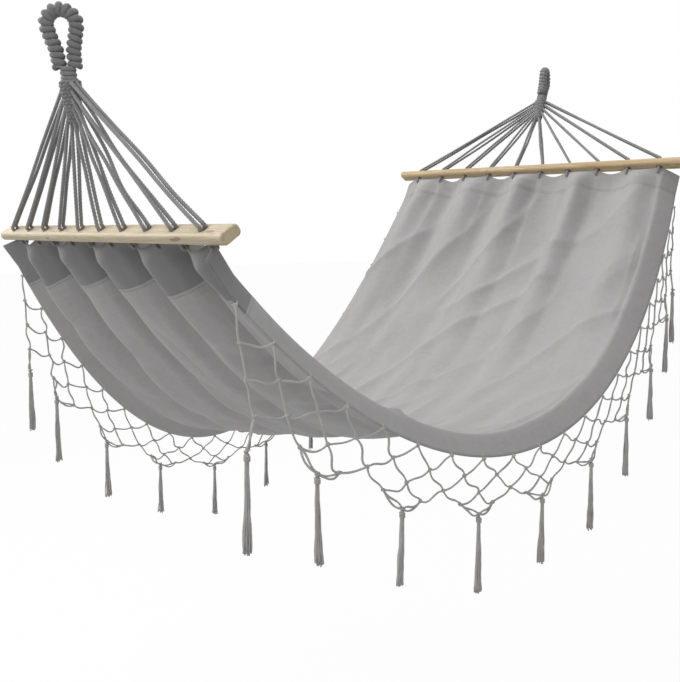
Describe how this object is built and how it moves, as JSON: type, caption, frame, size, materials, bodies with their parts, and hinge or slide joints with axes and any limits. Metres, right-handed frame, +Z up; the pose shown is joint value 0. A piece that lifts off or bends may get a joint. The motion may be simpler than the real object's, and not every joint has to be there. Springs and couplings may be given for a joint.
{
  "type": "hammock",
  "caption": "Canvas bed hammock with wooden spreader bars, doubled rope fans gathered into wrapped hanging loops, and tasselled nets along both sides.",
  "frame": {"origin": "where the hook bears in the foot hanging loop, at the inner top of its eye", "axes": "+X runs level along the hammock from the foot hook towards the head, +Z is up, +Y points to the far side of the hammock"},
  "size_m": [1.7983, 1.1556, 1.3845],
  "materials": {
    "canvas": "woven cotton canvas, matt",
    "hem_canvas": "folded and stitched cotton canvas, matt",
    "pine": "planed pine, clear satin",
    "tassel_yarn": "loose cotton yarn, matt",
    "net_cord": "twisted cotton cord, matt",
    "wrapping_cord": "tightly wound cotton cord, matt",
    "collar_cord": "knotted cotton cord, matt",
    "core_rope": "twisted cotton rope, matt",
    "rope": "twisted cotton rope, matt"
  },
  "bodies": {
    "hooked_loops": {"foot_loop_core": "core_rope", "foot_loop_wrapping": "wrapping_cord", "head_loop_core": "core_rope", "head_loop_wrapping": "wrapping_cord"},
    "bed": {"canvas_bed": "canvas", "far_side_net": "net_cord", "foot_end_hem": "hem_canvas", "foot_macrame_collar": "collar_cord", "foot_rope_1": "rope", "foot_rope_10": "rope", "foot_rope_2": "rope", "foot_rope_3": "rope", "foot_rope_4": "rope", "foot_rope_5": "rope", "foot_rope_6": "rope", "foot_rope_7": "rope", "foot_rope_8": "rope", "foot_rope_9": "rope", "foot_spreader_bar": "pine", "head_end_hem": "hem_canvas", "head_macrame_collar": "collar_cord", "head_rope_1": "rope", "head_rope_10": "rope", "head_rope_2": "rope", "head_rope_3": "rope", "head_rope_4": "rope", "head_rope_5": "rope", "head_rope_6": "rope", "head_rope_7": "rope", "head_rope_8": "rope", "head_rope_9": "rope", "head_spreader_bar": "pine", "near_side_net": "net_cord"},
    "near_tassel_1_body": {"near_tassel_1": "tassel_yarn"},
    "near_tassel_2_body": {"near_tassel_2": "tassel_yarn"},
    "near_tassel_3_body": {"near_tassel_3": "tassel_yarn"},
    "near_tassel_4_body": {"near_tassel_4": "tassel_yarn"},
    "near_tassel_5_body": {"near_tassel_5": "tassel_yarn"},
    "near_tassel_6_body": {"near_tassel_6": "tassel_yarn"},
    "near_tassel_7_body": {"near_tassel_7": "tassel_yarn"},
    "near_tassel_8_body": {"near_tassel_8": "tassel_yarn"},
    "near_tassel_9_body": {"near_tassel_9": "tassel_yarn"},
    "near_tassel_10_body": {"near_tassel_10": "tassel_yarn"},
    "far_tassel_1_body": {"far_tassel_1": "tassel_yarn"},
    "far_tassel_2_body": {"far_tassel_2": "tassel_yarn"},
    "far_tassel_3_body": {"far_tassel_3": "tassel_yarn"},
    "far_tassel_4_body": {"far_tassel_4": "tassel_yarn"},
    "far_tassel_5_body": {"far_tassel_5": "tassel_yarn"},
    "far_tassel_6_body": {"far_tassel_6": "tassel_yarn"},
    "far_tassel_7_body": {"far_tassel_7": "tassel_yarn"},
    "far_tassel_8_body": {"far_tassel_8": "tassel_yarn"},
    "far_tassel_9_body": {"far_tassel_9": "tassel_yarn"},
    "far_tassel_10_body": {"far_tassel_10": "tassel_yarn"}
  },
  "joints": [
    {"name": "swing", "type": "hinge", "parent": "hooked_loops", "child": "bed", "pos_m": [0.01338, 0, -0.10162], "axis": [0.9959, 0.0334, 0.0844], "range_deg": [-25, 25]},
    {"name": "near_tassel_1_pivot", "type": "hinge", "parent": "bed", "child": "near_tassel_1_body", "pos_m": [0.03691, -0.474, -0.70878], "axis": [0.9959, 0.0334, 0.0844], "range_deg": [-25.5, 25.5]},
    {"name": "near_tassel_2_pivot", "type": "hinge", "parent": "bed", "child": "near_tassel_2_body", "pos_m": [0.16267, -0.49429, -0.76617], "axis": [0.9959, 0.0334, 0.0844], "range_deg": [-25.5, 25.5]},
    {"name": "near_tassel_3_pivot", "type": "hinge", "parent": "bed", "child": "near_tassel_3_body", "pos_m": [0.34063, -0.51955, -0.85974], "axis": [0.9959, 0.0334, 0.0844], "range_deg": [-25.5, 25.5]},
    {"name": "near_tassel_4_pivot", "type": "hinge", "parent": "bed", "child": "near_tassel_4_body", "pos_m": [0.53986, -0.53813, -0.91377], "axis": [0.9959, 0.0334, 0.0844], "range_deg": [-25.5, 25.5]},
    {"name": "near_tassel_5_pivot", "type": "hinge", "parent": "bed", "child": "near_tassel_5_body", "pos_m": [0.74907, -0.54661, -0.92291], "axis": [0.9959, 0.0334, 0.0844], "range_deg": [-25.5, 25.5]},
    {"name": "near_tassel_6_pivot", "type": "hinge", "parent": "bed", "child": "near_tassel_6_body", "pos_m": [0.95505, -0.5435, -0.88981], "axis": [0.9959, 0.0334, 0.0844], "range_deg": [-25.5, 25.5]},
    {"name": "near_tassel_7_pivot", "type": "hinge", "parent": "bed", "child": "near_tassel_7_body", "pos_m": [1.14673, -0.52951, -0.82019], "axis": [0.9959, 0.0334, 0.0844], "range_deg": [-25.5, 25.5]},
    {"name": "near_tassel_8_pivot", "type": "hinge", "parent": "bed", "child": "near_tassel_8_body", "pos_m": [1.31772, -0.50729, -0.72369], "axis": [0.9959, 0.0334, 0.0844], "range_deg": [-25.5, 25.5]},
    {"name": "near_tassel_9_pivot", "type": "hinge", "parent": "bed", "child": "near_tassel_9_body", "pos_m": [1.46005, -0.4806, -0.60563], "axis": [0.9959, 0.0334, 0.0844], "range_deg": [-25.5, 25.5]},
    {"name": "near_tassel_10_pivot", "type": "hinge", "parent": "bed", "child": "near_tassel_10_body", "pos_m": [1.52308, -0.46641, -0.542], "axis": [0.9959, 0.0334, 0.0844], "range_deg": [-25.5, 25.5]},
    {"name": "far_tassel_1_pivot", "type": "hinge", "parent": "bed", "child": "far_tassel_1_body", "pos_m": [0.13859, 0.47286, -0.71057], "axis": [0.9959, 0.0334, 0.0844], "range_deg": [-25.5, 25.5]},
    {"name": "far_tassel_2_pivot", "type": "hinge", "parent": "bed", "child": "far_tassel_2_body", "pos_m": [0.20805, 0.48549, -0.78788], "axis": [0.9959, 0.0334, 0.0844], "range_deg": [-25.5, 25.5]},
    {"name": "far_tassel_3_pivot", "type": "hinge", "parent": "bed", "child": "far_tassel_3_body", "pos_m": [0.35603, 0.51477, -0.9285], "axis": [0.9959, 0.0334, 0.0844], "range_deg": [-25.5, 25.5]},
    {"name": "far_tassel_4_pivot", "type": "hinge", "parent": "bed", "child": "far_tassel_4_body", "pos_m": [0.53923, 0.54971, -1.03312], "axis": [0.9959, 0.0334, 0.0844], "range_deg": [-25.5, 25.5]},
    {"name": "far_tassel_5_pivot", "type": "hinge", "parent": "bed", "child": "far_tassel_5_body", "pos_m": [0.74817, 0.58091, -1.08296], "axis": [0.9959, 0.0334, 0.0844], "range_deg": [-25.5, 25.5]},
    {"name": "far_tassel_6_pivot", "type": "hinge", "parent": "bed", "child": "far_tassel_6_body", "pos_m": [0.96236, 0.59603, -1.05437], "axis": [0.9959, 0.0334, 0.0844], "range_deg": [-25.5, 25.5]},
    {"name": "far_tassel_7_pivot", "type": "hinge", "parent": "bed", "child": "far_tassel_7_body", "pos_m": [1.14829, 0.5872, -0.95217], "axis": [0.9959, 0.0334, 0.0844], "range_deg": [-25.5, 25.5]},
    {"name": "far_tassel_8_pivot", "type": "hinge", "parent": "bed", "child": "far_tassel_8_body", "pos_m": [1.28859, 0.5565, -0.80399], "axis": [0.9959, 0.0334, 0.0844], "range_deg": [-25.5, 25.5]},
    {"name": "far_tassel_9_pivot", "type": "hinge", "parent": "bed", "child": "far_tassel_9_body", "pos_m": [1.39432, 0.51375, -0.63542], "axis": [0.9959, 0.0334, 0.0844], "range_deg": [-25.5, 25.5]},
    {"name": "far_tassel_10_pivot", "type": "hinge", "parent": "bed", "child": "far_tassel_10_body", "pos_m": [1.44202, 0.48866, -0.54732], "axis": [0.9959, 0.0334, 0.0844], "range_deg": [-25.5, 25.5]}
  ],
  "couplings": [
    {"joint": "near_tassel_1_pivot", "follows": "swing", "ratio": -1},
    {"joint": "near_tassel_2_pivot", "follows": "swing", "ratio": -1},
    {"joint": "near_tassel_3_pivot", "follows": "swing", "ratio": -1},
    {"joint": "near_tassel_4_pivot", "follows": "swing", "ratio": -1},
    {"joint": "near_tassel_5_pivot", "follows": "swing", "ratio": -1},
    {"joint": "near_tassel_6_pivot", "follows": "swing", "ratio": -1},
    {"joint": "near_tassel_7_pivot", "follows": "swing", "ratio": -1},
    {"joint": "near_tassel_8_pivot", "follows": "swing", "ratio": -1},
    {"joint": "near_tassel_9_pivot", "follows": "swing", "ratio": -1},
    {"joint": "near_tassel_10_pivot", "follows": "swing", "ratio": -1},
    {"joint": "far_tassel_1_pivot", "follows": "swing", "ratio": -1},
    {"joint": "far_tassel_2_pivot", "follows": "swing", "ratio": -1},
    {"joint": "far_tassel_3_pivot", "follows": "swing", "ratio": -1},
    {"joint": "far_tassel_4_pivot", "follows": "swing", "ratio": -1},
    {"joint": "far_tassel_5_pivot", "follows": "swing", "ratio": -1},
    {"joint": "far_tassel_6_pivot", "follows": "swing", "ratio": -1},
    {"joint": "far_tassel_7_pivot", "follows": "swing", "ratio": -1},
    {"joint": "far_tassel_8_pivot", "follows": "swing", "ratio": -1},
    {"joint": "far_tassel_9_pivot", "follows": "swing", "ratio": -1},
    {"joint": "far_tassel_10_pivot", "follows": "swing", "ratio": -1}
  ]
}
